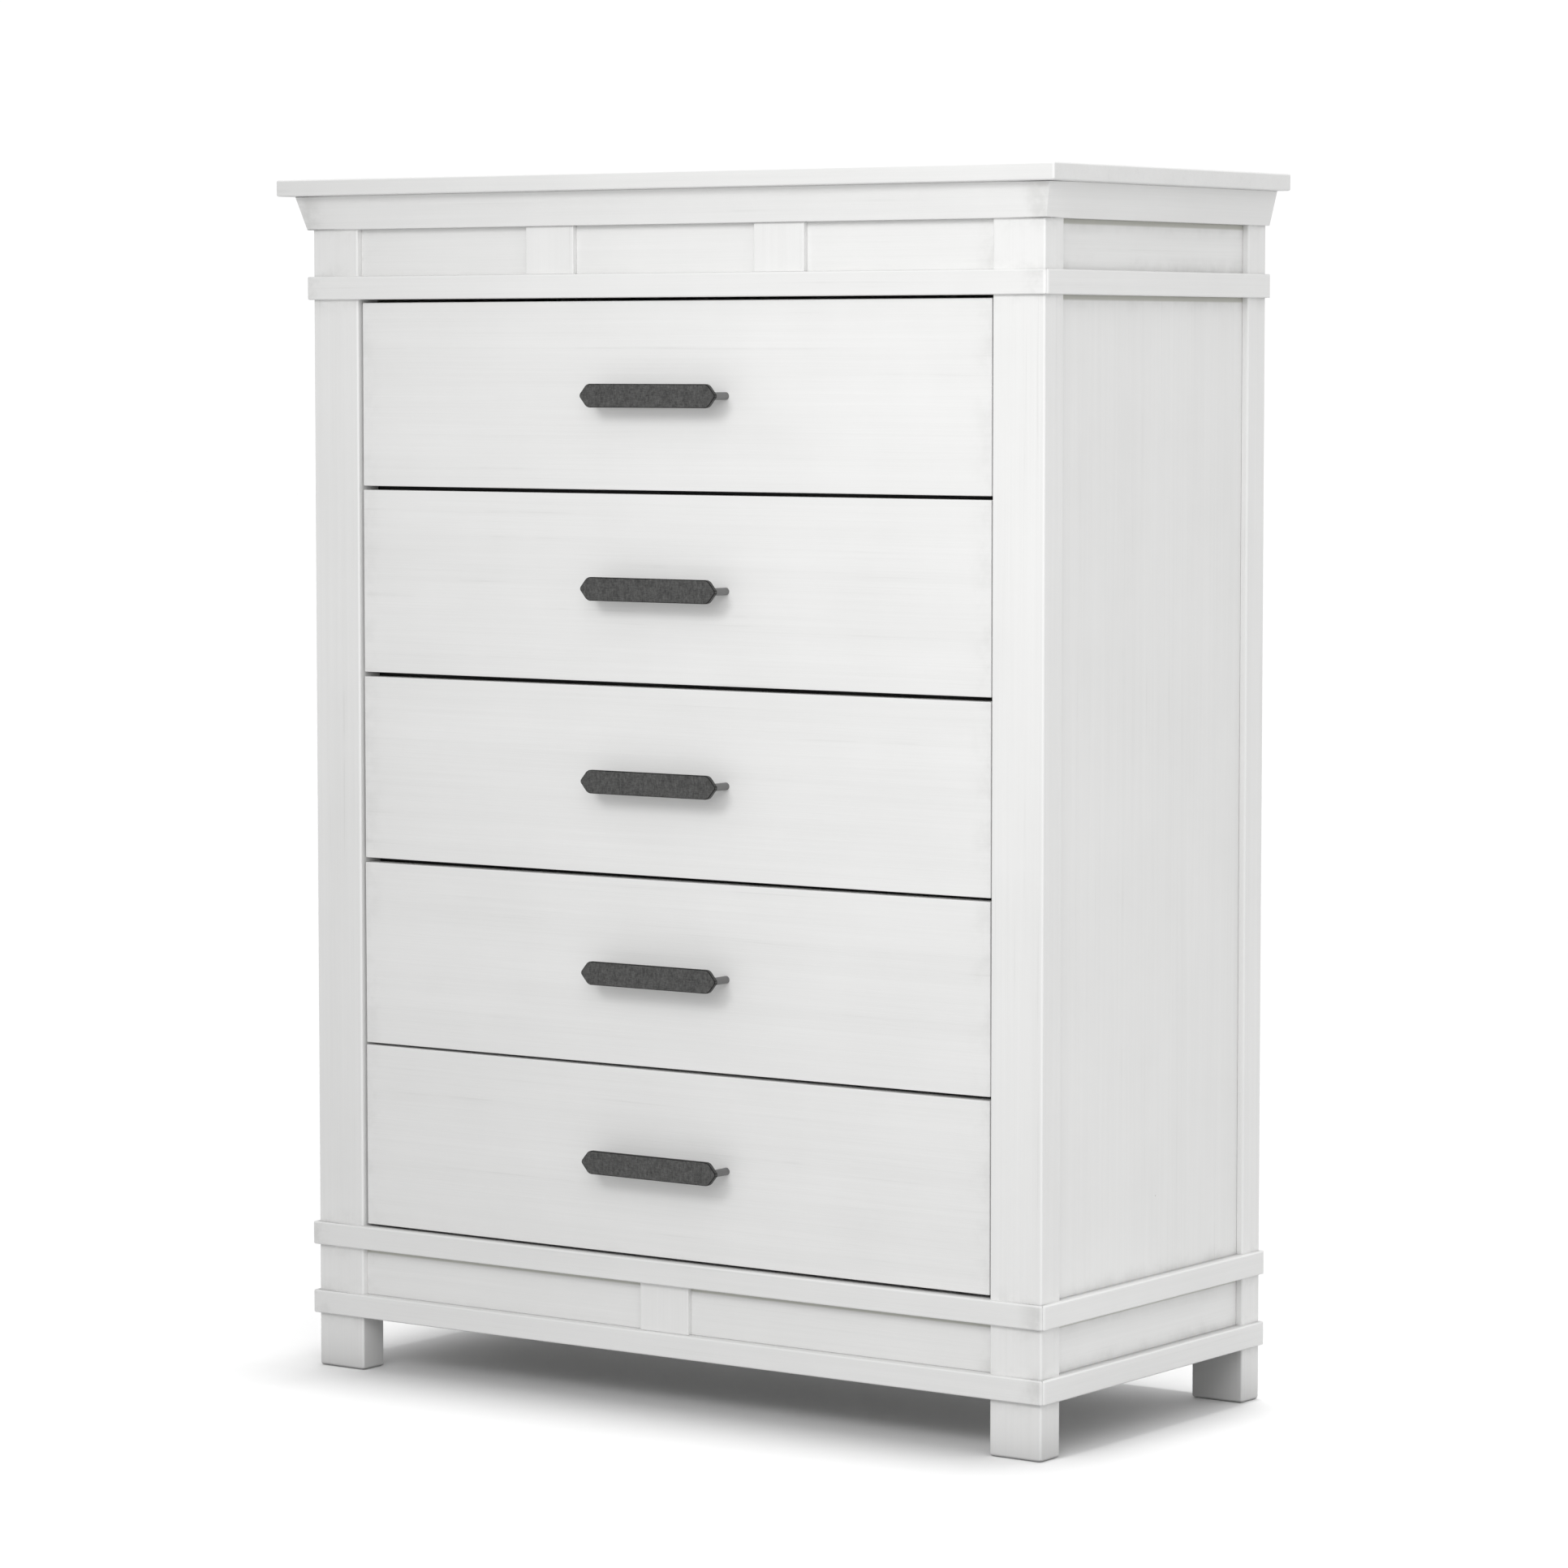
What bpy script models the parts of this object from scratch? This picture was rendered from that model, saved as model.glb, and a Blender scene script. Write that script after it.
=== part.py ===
"""Tall chest of drawers: a painted case of posts, panels and mitred mouldings, with five sliding drawers.

Lengths are in metres. X runs across the front from left to right, Y from front to back, and Z is up.
The origin is on the floor, under the middle of the top panel.
"""

import math

import bmesh
import bpy
from mathutils import Vector

GAP = 0.0003  # left between pieces that touch
EASE = 0.0012  # width of the eased edges on painted boards
FINE_EASE = 0.0006  # the same on the thin boards of the drawer boxes

# Overall size
HEIGHT = 1.300
CASE_WIDTH = 0.946  # over the outer faces of the posts
CASE_DEPTH = 0.427  # over their front and back faces
TOP_OVERHANG = 0.0285  # at the front and both sides
TOP_BACK_OVERHANG = 0.0025

# Heights of the tiers between the floor and the top
LEG_HEIGHT = 0.059
BELT_HEIGHT = 0.025
PLINTH_HEIGHT = 0.051
FRIEZE_HEIGHT = 0.0505
CORNICE_HEIGHT = 0.036
TOP_THICKNESS = 0.018

# Frame and panels
POST_WIDTH = 0.062
POST_DEPTH = 0.035
SIDE_RECESS = 0.0077  # side panels behind the outer faces of the posts
SIDE_THICKNESS = 0.012
RAIL_RECESS = 0.007  # frieze and plinth boards behind the front faces of the posts
RAIL_THICKNESS = 0.018
BACK_RECESS = 0.006
BACK_THICKNESS = 0.006
PANEL_TONGUE = 0.006  # how far a panel's edge enters the grooves of the posts

# Mouldings, measured from the faces of the posts
BELT_REACH = 0.0059
CORNICE_LOW_REACH = 0.0048
CORNICE_HIGH_REACH = 0.014

# Raised blocks on the frieze and the plinth
BLOCK_WIDTH = 0.063
BLOCK_THICKNESS = 0.0064
FRIEZE_BLOCK_X = 0.1485

# Drawers
DRAWER_COUNT = 5
DRAWER_TRAVEL_GAP = 0.0035  # above, between and below the fronts
DRAWER_SIDE_GAP = 0.004
DRAWER_RECESS = 0.004  # fronts behind the faces of the posts
FRONT_THICKNESS = 0.020
SLIDE_SPACE = 0.0127  # between a drawer box and the posts, for a side-mounted slide
BOX_RISE = 0.006  # box above the lower edge of its front
BOX_HEIGHT = 0.160
BOX_LENGTH = 0.350
BOX_THICKNESS = 0.012
BOTTOM_RISE = 0.012
BOTTOM_THICKNESS = 0.005
BOTTOM_TONGUE = 0.005

# Boards across the case, under each drawer
DIVIDER_THICKNESS = 0.012
DIVIDER_TONGUE = 0.004
DIVIDER_TOP = 0.004  # above the lower edge of the front that it carries

# Bar pulls
PULL_SHOULDER_X = 0.0762  # where the straight edges end
PULL_TIP_X = 0.0885  # where the sloping edges would meet if the tip were sharp
PULL_HEIGHT = 0.0248
PULL_BAR_THICKNESS = 0.005
PULL_REACH = 0.031  # from the drawer's face to the front of the bar
PULL_TIP_RADIUS = 0.0025
PULL_SHOULDER_RADIUS = 0.005
PULL_EASE = 0.0008
STEM_SPACING = 0.160
STEM_RADIUS = 0.004
STEM_SIDES = 20
STEM_ROOT = 0.002  # how far a stem enters the bar

# Levels and planes that follow
PLINTH_Z = LEG_HEIGHT + BELT_HEIGHT
LOWER_BELT_Z = PLINTH_Z + PLINTH_HEIGHT
OPENING_Z = LOWER_BELT_Z + BELT_HEIGHT
TOP_Z = HEIGHT - TOP_THICKNESS
CORNICE_Z = TOP_Z - CORNICE_HEIGHT
FRIEZE_Z = CORNICE_Z - FRIEZE_HEIGHT
UPPER_BELT_Z = FRIEZE_Z - BELT_HEIGHT
HALF_WIDTH = CASE_WIDTH / 2
TOP_DEPTH = TOP_OVERHANG + CASE_DEPTH + TOP_BACK_OVERHANG
FRONT_Y = TOP_OVERHANG - TOP_DEPTH / 2
BACK_Y = FRONT_Y + CASE_DEPTH
POST_INNER_X = HALF_WIDTH - POST_WIDTH
SIDE_OUTER_X = HALF_WIDTH - SIDE_RECESS
SIDE_INNER_X = SIDE_OUTER_X - SIDE_THICKNESS
FRONT_POST_Y = FRONT_Y + POST_DEPTH
BACK_POST_Y = BACK_Y - POST_DEPTH
RAIL_Y = FRONT_Y + RAIL_RECESS
RAIL_BACK_Y = RAIL_Y + RAIL_THICKNESS
BACK_PANEL_Y = BACK_Y - BACK_RECESS - BACK_THICKNESS
DRAWER_Y = FRONT_Y + DRAWER_RECESS
DRAWER_BACK_Y = DRAWER_Y + FRONT_THICKNESS
DRAWER_HALF_WIDTH = POST_INNER_X - DRAWER_SIDE_GAP
BOX_HALF_WIDTH = POST_INNER_X - SLIDE_SPACE
FRONT_HEIGHT = (UPPER_BELT_Z - OPENING_Z - (DRAWER_COUNT + 1) * DRAWER_TRAVEL_GAP) / DRAWER_COUNT
MITRE_GAP = GAP * math.sqrt(2)


def clear_scene():
    for obj in list(bpy.data.objects):
        bpy.data.objects.remove(obj, do_unlink=True)


def finish(name, colour, roughness, metallic=0.0):
    material = bpy.data.materials.new(name)
    material.use_nodes = True
    shader = material.node_tree.nodes["Principled BSDF"]
    shader.inputs["Base Color"].default_value = (*colour, 1.0)
    shader.inputs["Roughness"].default_value = roughness
    shader.inputs["Metallic"].default_value = metallic
    return material


def place(name, shape, origin, material, parent=None):
    """Make a named object of a bmesh that is drawn about its own origin."""
    mesh = bpy.data.meshes.new(name)
    shape.to_mesh(mesh)
    shape.free()
    mesh.materials.append(material)
    piece = bpy.data.objects.new(name, mesh)
    bpy.context.scene.collection.objects.link(piece)
    piece.location = Vector(origin)
    if parent:
        piece.parent = parent
        piece.location -= parent.location
    return piece


def board(name, low, high, material, parent=None, ease=EASE):
    """A rectangular board between two opposite corners, with its edges eased."""
    low, high = Vector(low), Vector(high)
    shape = bmesh.new()
    bmesh.ops.create_cube(shape, size=1.0)
    bmesh.ops.scale(shape, vec=high - low, verts=shape.verts[:])
    bmesh.ops.bevel(shape, geom=shape.edges[:], offset=ease, segments=1, affect="EDGES")
    return place(name, shape, (low + high) / 2, material, parent)


def groove(piece, low, high, parent=None):
    """Cut a rectangular groove between two opposite corners, all a gap larger than what it takes."""
    margin = Vector((GAP, GAP, GAP))
    low, high = Vector(low) - margin, Vector(high) + margin
    shape = bmesh.new()
    bmesh.ops.create_cube(shape, size=1.0)
    bmesh.ops.scale(shape, vec=high - low, verts=shape.verts[:])
    material = piece.data.materials[0]
    cutter = place(f"{piece.name}_cutter", shape, (low + high) / 2, material, parent)
    cutter.hide_render = True
    cutter.display_type = "WIRE"
    cut = piece.modifiers.new("groove", "BOOLEAN")
    cut.operation = "DIFFERENCE"
    cut.solver = "EXACT"
    cut.object = cutter


def moulding(name, low_outline, high_outline, low_z, high_z, material):
    """A length of moulding between two plan outlines. Their first side is its show face, which is eased."""
    shape = bmesh.new()
    height = high_z - low_z
    low_ring = [shape.verts.new((x, y, 0.0)) for x, y in low_outline]
    high_ring = [shape.verts.new((x, y, height)) for x, y in high_outline]
    shape.faces.new(low_ring)
    shape.faces.new(high_ring)
    for index, corner in enumerate(low_ring):
        after = (index + 1) % len(low_ring)
        shape.faces.new((corner, low_ring[after], high_ring[after], high_ring[index]))
    bmesh.ops.recalc_face_normals(shape, faces=shape.faces[:])
    show_edges = [shape.edges.get((ring[0], ring[1])) for ring in (low_ring, high_ring)]
    bmesh.ops.bevel(shape, geom=show_edges, offset=EASE, segments=1, affect="EDGES")
    return place(name, shape, (0.0, 0.0, low_z), material)


def front_outline(reach, depth):
    """Plan of a moulding over the front posts, mitred at both ends, and set back between the posts."""
    seat_y = FRONT_Y - GAP
    outer_x = HALF_WIDTH + reach - MITRE_GAP
    heel_x = HALF_WIDTH + GAP - MITRE_GAP
    inner_x = POST_INNER_X - GAP
    right = [(outer_x, FRONT_Y - reach), (heel_x, seat_y), (inner_x, seat_y), (inner_x, FRONT_Y + depth)]
    left = [(-x, y) for x, y in reversed(right)]
    return [left[-1]] + right + left[:-1]


def side_outline(reach, side):
    """Plan of a moulding along one side, mitred at the front, and set back to the panel between the posts."""
    seat_x = HALF_WIDTH + GAP
    panel_x = SIDE_OUTER_X + GAP
    outer_x = HALF_WIDTH + reach
    outline = [
        (outer_x, FRONT_Y - reach),
        (outer_x, BACK_Y),
        (seat_x, BACK_Y),
        (seat_x, BACK_POST_Y - GAP),
        (panel_x, BACK_POST_Y - GAP),
        (panel_x, FRONT_POST_Y + GAP),
        (seat_x, FRONT_POST_Y + GAP),
        (seat_x, FRONT_Y - GAP),
    ]
    return [(side * x, y) for x, y in outline]


def moulding_course(name, low_reach, high_reach, depth, low_z, high_z, material):
    """A front length and two side lengths that wrap the case at one level."""
    levels = (low_z + GAP, high_z - GAP)
    outlines = (front_outline(low_reach, depth), front_outline(high_reach, depth))
    moulding(f"{name}_front", *outlines, *levels, material)
    for side_name, side in (("left", -1), ("right", 1)):
        outlines = (side_outline(low_reach, side), side_outline(high_reach, side))
        moulding(f"{name}_{side_name}", *outlines, *levels, material)


def rounded_outline(corners, steps=3):
    """A closed outline with each corner turned to an arc. Every corner is (x, y, radius)."""
    outline = []
    for index, (x, y, radius) in enumerate(corners):
        corner = Vector((x, y))
        before = (Vector(corners[index - 1][:2]) - corner).normalized()
        after = (Vector(corners[(index + 1) % len(corners)][:2]) - corner).normalized()
        half_angle = before.angle(after) / 2
        centre = corner + (before + after).normalized() * radius / math.sin(half_angle)
        start = corner + before * radius / math.tan(half_angle) - centre
        turn = start.angle_signed(corner + after * radius / math.tan(half_angle) - centre)
        for step in range(steps + 1):
            angle = -turn * step / steps
            across = start.x * math.cos(angle) - start.y * math.sin(angle)
            up = start.x * math.sin(angle) + start.y * math.cos(angle)
            outline.append((centre.x + across, centre.y + up))
    return outline


def make_pull(name, face_y, z, material, parent):
    """A flat bar with pointed ends, standing off the drawer on two round stems."""
    half_height = PULL_HEIGHT / 2
    corners = [
        (PULL_TIP_X, 0.0, PULL_TIP_RADIUS),
        (PULL_SHOULDER_X, half_height, PULL_SHOULDER_RADIUS),
        (-PULL_SHOULDER_X, half_height, PULL_SHOULDER_RADIUS),
        (-PULL_TIP_X, 0.0, PULL_TIP_RADIUS),
        (-PULL_SHOULDER_X, -half_height, PULL_SHOULDER_RADIUS),
        (PULL_SHOULDER_X, -half_height, PULL_SHOULDER_RADIUS),
    ]
    bar_front = -PULL_REACH
    bar_back = bar_front + PULL_BAR_THICKNESS
    shape = bmesh.new()
    rim = [shape.verts.new((x, bar_front, up)) for x, up in rounded_outline(corners)]
    face = shape.faces.new(rim)
    grown = bmesh.ops.extrude_face_region(shape, geom=[face])["geom"]
    moved = [item for item in grown if isinstance(item, bmesh.types.BMVert)]
    bmesh.ops.translate(shape, vec=(0.0, PULL_BAR_THICKNESS, 0.0), verts=moved)
    bmesh.ops.recalc_face_normals(shape, faces=shape.faces[:])
    front_edges = [edge for edge in shape.edges if all(math.isclose(v.co.y, bar_front) for v in edge.verts)]
    bmesh.ops.bevel(shape, geom=front_edges, offset=PULL_EASE, segments=1, affect="EDGES")
    pull = place(name, shape, (0.0, face_y, z), material, parent)
    stem_start = bar_back - STEM_ROOT
    stem_end = -GAP
    for side in (-1, 1):
        stem = bmesh.new()
        bmesh.ops.create_cone(
            stem,
            cap_ends=True,
            segments=STEM_SIDES,
            radius1=STEM_RADIUS,
            radius2=STEM_RADIUS,
            depth=stem_end - stem_start,
        )
        stem_x = side * STEM_SPACING / 2
        origin = (stem_x, face_y + (stem_start + stem_end) / 2, z)
        post = place(f"{name}_stem_{side}", stem, origin, material, parent)
        post.rotation_euler.x = math.radians(90)
        post.hide_render = True
        post.display_type = "WIRE"
        union = pull.modifiers.new("stem", "BOOLEAN")
        union.operation = "UNION"
        union.solver = "EXACT"
        union.object = post


def make_posts(material):
    """Four posts that run down to the floor as legs, grooved for the side panels and the back."""
    for end_name, low_y, groove_y in (
        ("front", FRONT_Y, FRONT_POST_Y - PANEL_TONGUE),
        ("back", BACK_POST_Y, BACK_POST_Y),
    ):
        for side_name, side in (("left", -1), ("right", 1)):
            near, far = sorted((side * POST_INNER_X, side * HALF_WIDTH))
            name = f"post_{end_name}_{side_name}"
            post = board(name, (near, low_y, 0.0), (far, low_y + POST_DEPTH, TOP_Z - GAP), material)
            near, far = sorted((side * SIDE_INNER_X, side * SIDE_OUTER_X))
            groove(post, (near, groove_y, LEG_HEIGHT), (far, groove_y + PANEL_TONGUE, HEIGHT))
            if end_name == "back":
                near, far = sorted((side * POST_INNER_X, side * (POST_INNER_X + PANEL_TONGUE)))
                back = (BACK_PANEL_Y, BACK_PANEL_Y + BACK_THICKNESS)
                groove(post, (near, back[0], PLINTH_Z), (far, back[1], HEIGHT))


def divider_span(index):
    """Heights of the underside and the top of the board that carries a drawer."""
    high_z = drawer_low_z(index) + DIVIDER_TOP
    return high_z - DIVIDER_THICKNESS, high_z


def make_panels(paint):
    """Side panels housed for the boards across the case, and the thin back."""
    front_y = FRONT_POST_Y - PANEL_TONGUE
    back_y = BACK_POST_Y + PANEL_TONGUE
    for side_name, side in (("left", -1), ("right", 1)):
        near, far = sorted((side * SIDE_INNER_X, side * SIDE_OUTER_X))
        low = (near, front_y, LEG_HEIGHT + GAP)
        panel = board(f"side_panel_{side_name}", low, (far, back_y, TOP_Z - GAP), paint, ease=FINE_EASE)
        near, far = sorted((side * SIDE_INNER_X, side * (SIDE_INNER_X + DIVIDER_TONGUE)))
        for index in range(DRAWER_COUNT):
            low_z, high_z = divider_span(index)
            groove(panel, (near, FRONT_POST_Y, low_z), (far, BACK_POST_Y, high_z))
    back_x = POST_INNER_X + PANEL_TONGUE
    low = (-back_x, BACK_PANEL_Y, PLINTH_Z + GAP)
    high = (back_x, BACK_PANEL_Y + BACK_THICKNESS, TOP_Z - GAP)
    board("back_panel", low, high, paint, ease=FINE_EASE)


def make_rails(paint):
    """The frieze over the drawers and the plinth under them, set back from the posts, with raised blocks."""
    rail_x = POST_INNER_X - GAP
    block_y = RAIL_Y - BLOCK_THICKNESS
    for name, low_z, high_z, board_top, centres in (
        ("frieze", FRIEZE_Z, CORNICE_Z, TOP_Z, {"_left": -FRIEZE_BLOCK_X, "_right": FRIEZE_BLOCK_X}),
        ("plinth", PLINTH_Z, LOWER_BELT_Z, LOWER_BELT_Z, {"": 0.0}),
    ):
        low = (-rail_x, RAIL_Y, low_z + GAP)
        board(f"{name}_board", low, (rail_x, RAIL_BACK_Y, board_top - GAP), paint, ease=FINE_EASE)
        for side_name, x in centres.items():
            low = (x - BLOCK_WIDTH / 2, block_y, low_z + GAP)
            high = (x + BLOCK_WIDTH / 2, RAIL_Y - GAP, high_z - GAP)
            board(f"{name}_block{side_name}", low, high, paint, ease=FINE_EASE)


def make_mouldings(paint):
    rail_depth = RAIL_BACK_Y - FRONT_Y
    belts = {"base_belt": LEG_HEIGHT, "lower_belt": LOWER_BELT_Z, "upper_belt": UPPER_BELT_Z}
    for name, low_z in belts.items():
        moulding_course(name, BELT_REACH, BELT_REACH, rail_depth, low_z, low_z + BELT_HEIGHT, paint)
    cornice_depth = RAIL_RECESS - GAP
    moulding_course("cornice", CORNICE_LOW_REACH, CORNICE_HIGH_REACH, cornice_depth, CORNICE_Z, TOP_Z, paint)


def make_top(paint):
    half = HALF_WIDTH + TOP_OVERHANG
    board("top_panel", (-half, -TOP_DEPTH / 2, TOP_Z), (half, TOP_DEPTH / 2, HEIGHT), paint)


def drawer_low_z(index):
    """Height of the lower edge of a drawer's front. The top drawer is index 0."""
    from_top = (index + 1) * (FRONT_HEIGHT + DRAWER_TRAVEL_GAP)
    return UPPER_BELT_Z - from_top


def make_dividers(raw_wood):
    """A board across the case under each drawer. The lowest one closes the bottom of the case."""
    half = SIDE_INNER_X + DIVIDER_TONGUE
    names = [f"drawer_divider_{number}" for number in range(1, DRAWER_COUNT)] + ["case_bottom"]
    for index, name in enumerate(names):
        low_z, high_z = divider_span(index)
        low = (-half, FRONT_POST_Y + GAP, low_z)
        board(name, low, (half, BACK_POST_Y - GAP, high_z), raw_wood, ease=FINE_EASE)


def make_drawer(index, paint, raw_wood, hardboard, metal):
    """A painted front with a pull, and a box of two sides, a back and a bottom panel held in grooves."""
    name = f"drawer_{index + 1}"
    low_z = drawer_low_z(index)
    middle_z = low_z + FRONT_HEIGHT / 2
    slide = bpy.data.objects.new(f"{name}_slide", None)
    slide.location = (0.0, DRAWER_Y, middle_z)
    bpy.context.scene.collection.objects.link(slide)

    box_low = low_z + BOX_RISE
    box_high = box_low + BOX_HEIGHT
    box_front = DRAWER_BACK_Y + GAP
    box_back = box_front + BOX_LENGTH
    inner_x = BOX_HALF_WIDTH - BOX_THICKNESS
    bottom_low = box_low + BOTTOM_RISE
    bottom_high = bottom_low + BOTTOM_THICKNESS
    bottom_half = inner_x + BOTTOM_TONGUE
    bottom_front = DRAWER_BACK_Y - BOTTOM_TONGUE
    bottom_panel = ((-bottom_half, bottom_front, bottom_low), (bottom_half, box_back, bottom_high))

    low = (-DRAWER_HALF_WIDTH, DRAWER_Y, low_z)
    high = (DRAWER_HALF_WIDTH, DRAWER_BACK_Y, low_z + FRONT_HEIGHT)
    front = board(f"{name}_front", low, high, paint, slide)
    groove(front, *bottom_panel, slide)
    for side_name, side in (("left", -1), ("right", 1)):
        near, far = sorted((side * inner_x, side * BOX_HALF_WIDTH))
        low = (near, box_front, box_low)
        high = (far, box_back, box_high)
        box_side = board(f"{name}_side_{side_name}", low, high, raw_wood, slide, FINE_EASE)
        groove(box_side, *bottom_panel, slide)
    back_x = inner_x - GAP
    low = (-back_x, box_back - BOX_THICKNESS, bottom_high + GAP)
    board(f"{name}_back", low, (back_x, box_back, box_high), raw_wood, slide, FINE_EASE)
    board(f"{name}_bottom", *bottom_panel, hardboard, slide, FINE_EASE)
    make_pull(f"{name}_pull", DRAWER_Y, middle_z, metal, slide)


def main():
    clear_scene()
    paint = finish("white_paint", (0.80, 0.80, 0.79), 0.45)
    raw_wood = finish("clear_birch", (0.62, 0.48, 0.32), 0.55)
    hardboard = finish("thin_hardboard", (0.45, 0.34, 0.23), 0.6)
    metal = finish("dark_pewter", (0.09, 0.09, 0.09), 0.45, 0.9)
    make_posts(paint)
    make_panels(paint)
    make_rails(paint)
    make_mouldings(paint)
    make_top(paint)
    make_dividers(raw_wood)
    for index in range(DRAWER_COUNT):
        make_drawer(index, paint, raw_wood, hardboard, metal)


main()
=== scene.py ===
"""Looks of a tall white chest of drawers: eased and mitred painted boards, birch drawer boxes, metal slides
and pewter bar pulls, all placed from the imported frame. X runs across the front, Y towards the back, Z up."""

import math
from contextlib import contextmanager

import bmesh
import bpy
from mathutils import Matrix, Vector


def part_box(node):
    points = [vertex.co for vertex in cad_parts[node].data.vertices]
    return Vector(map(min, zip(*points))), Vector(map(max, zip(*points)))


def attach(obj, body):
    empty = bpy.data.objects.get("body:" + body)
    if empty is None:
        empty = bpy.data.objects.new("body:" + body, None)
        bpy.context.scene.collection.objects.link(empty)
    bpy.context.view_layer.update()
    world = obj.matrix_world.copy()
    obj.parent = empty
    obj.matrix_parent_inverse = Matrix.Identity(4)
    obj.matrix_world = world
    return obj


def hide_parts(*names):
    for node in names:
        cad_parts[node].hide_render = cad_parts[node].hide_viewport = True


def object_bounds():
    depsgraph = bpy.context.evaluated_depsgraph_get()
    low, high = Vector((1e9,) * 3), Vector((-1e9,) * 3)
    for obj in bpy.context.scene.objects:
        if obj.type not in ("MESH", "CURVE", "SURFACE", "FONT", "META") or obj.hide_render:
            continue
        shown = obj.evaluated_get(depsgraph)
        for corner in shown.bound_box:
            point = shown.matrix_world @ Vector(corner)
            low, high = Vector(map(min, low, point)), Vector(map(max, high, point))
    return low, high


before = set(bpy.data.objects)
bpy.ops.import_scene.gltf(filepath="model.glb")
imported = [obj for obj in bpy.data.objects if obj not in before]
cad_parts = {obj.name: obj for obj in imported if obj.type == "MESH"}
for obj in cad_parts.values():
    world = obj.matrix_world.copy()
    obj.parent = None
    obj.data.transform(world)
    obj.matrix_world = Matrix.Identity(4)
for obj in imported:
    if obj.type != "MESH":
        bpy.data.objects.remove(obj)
cad_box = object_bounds()

DRAWERS = [f"drawer_{number}" for number in range(1, 6)]
SIDES = {"left": -1, "right": 1}
CLOSE = 0.0003  # joint space between the frame's solids, which glue and paint close
TINY = 0.0001
SQUARE_ON = 0.99  # how much of a face's normal lies along the way it is said to face
ROD_SIDES = 32

# Widths of the rounded arrises
TOP_ARRIS = 0.0022
POST_ARRIS = 0.0020
BELT_ARRIS = 0.0018
BELT_CORNER = 0.0030  # flat cut across the corner of a belt before it is eased
CORNICE_ARRIS = 0.0009
FRONT_ARRIS = 0.0011
FOOT_ARRIS = 0.0035
BLOCK_ARRIS = 0.0009
RAIL_ARRIS = 0.0006
BATTEN_ARRIS = 0.0015

# What a drawer front gains at its right end, and what it loses at its top and at its bottom
FRONT_SPARE = 0.0013
FRONT_TRIM = 0.0002

# How the drawer fronts hang: all a little to the left, and each up or down at its left and right ends
SIDE_PLAY = -0.0006
HANG = {
    "drawer_1": (0.0002, 0.0005),
    "drawer_2": (-0.0003, 0.0004),
    "drawer_3": (-0.0014, -0.0003),
    "drawer_4": (-0.0026, -0.0002),
    "drawer_5": (-0.0013, -0.0005),
}

# Pulls
BAR_THICKNESS = 0.005
BAR_ARRIS = 0.0010
TIP_ROUND = 0.0030
POINT_LENGTH = 0.0105
SHOULDER_ROUND = 0.0035
STEM_SPACING = 0.160
STEM_RADIUS = 0.0040
STEM_ARRIS = 0.0006
SCREW_RADIUS = 0.0045
SCREW_HEIGHT = 0.0028

# Slides and the battens behind them
SHEET = 0.0012
FOLD_RADIUS = 0.0018
CLEARANCE = 0.0004
SLIDE_SETBACK = 0.003
CASE_MEMBER_HEIGHT = 0.0438
CASE_MEMBER_LIP = 0.0095
CASE_MEMBER_HEM = 0.0035
DRAWER_MEMBER_HEIGHT = 0.034
DRAWER_MEMBER_LIP = 0.0088
DRAWER_MEMBER_HEM = 0.0030
BATTEN_HEIGHT = 0.052

# Paint, and painted shade and shadow
JOINT_REACH_ACROSS = 0.030  # how far the grey glaze and painted shade near a joint reach, across the case and up it
JOINT_REACH_UP = 0.022
# Grey of the painted shadow under the belts
UNDER_BELT_SHADOW = (0.47, 0.47, 0.42, 1.0)
GAP_SHADE_DEPTH = 0.012  # how far back the front edges of the dividers are painted black, as painted shade in the gaps between the drawers

# Light
ROOM_LEVEL = 0.52
BACKDROP_LEVEL = 0.52
RIGHT_LEVEL = 0.47
OVERHEAD_POWER = 1.0
OVERHEAD_PLACE = (0.0, 0.3, 6.0)
KEY_POWER = 140.0
KEY_PLACE = (0.25, -3.3, 2.4)
KEY_AIM = (0.56, -0.2, 1.06)
KEY_SIZE = 0.60
WIDE_POWER = 13.5
WIDE_PLACE = (1.10, -2.20, 1.60)
WIDE_AIM = (0.35, -0.2, 1.0)
WIDE_SIZE = 1.6

# Floor, and the dark sheet under the chest, which reaches a little past its right side
FLOOR_WIDTH = 60.0
SHADE_BESIDE = 0.03
SHADE_TONE = 0.12

# Camera
CAMERA_PLACE = (3.4704, -4.8377, 1.1070)
CAMERA_YAW = 35.557
CAMERA_PITCH = -4.379
LENS = 127.56


# ---------------------------------------------------------------- measures taken from the frame

post_low, post_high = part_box("post_front_right")
rail_low, rail_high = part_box("frieze_board")
panel_low, panel_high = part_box("side_panel_right")
CASE_HALF = post_high.x
POST_INNER = post_low.x
CASE_FRONT = post_low.y
FRONT_POST_BACK = post_high.y
BACK_POST_FRONT, CASE_BACK = (corner.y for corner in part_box("post_back_right"))
PANEL_INNER, PANEL_FACE = panel_low.x, panel_high.x
RAIL_FACE, RAIL_BACK = rail_low.y, rail_high.y


# ---------------------------------------------------------------- modelling moves


def deselect():
    for piece in list(bpy.context.selected_objects):
        piece.select_set(False)


def block(name, low, high):
    """A block between two opposite corners, with its place in its mesh."""
    corners = [sorted(pair) for pair in zip(low, high)]
    low = Vector([pair[0] for pair in corners])
    high = Vector([pair[1] for pair in corners])
    deselect()
    bpy.ops.mesh.primitive_cube_add(size=1.0, location=(low + high) / 2)
    piece = bpy.context.active_object
    piece.name = name
    piece.scale = high - low
    bpy.ops.object.transform_apply(location=True, rotation=True, scale=True)
    return piece


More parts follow.
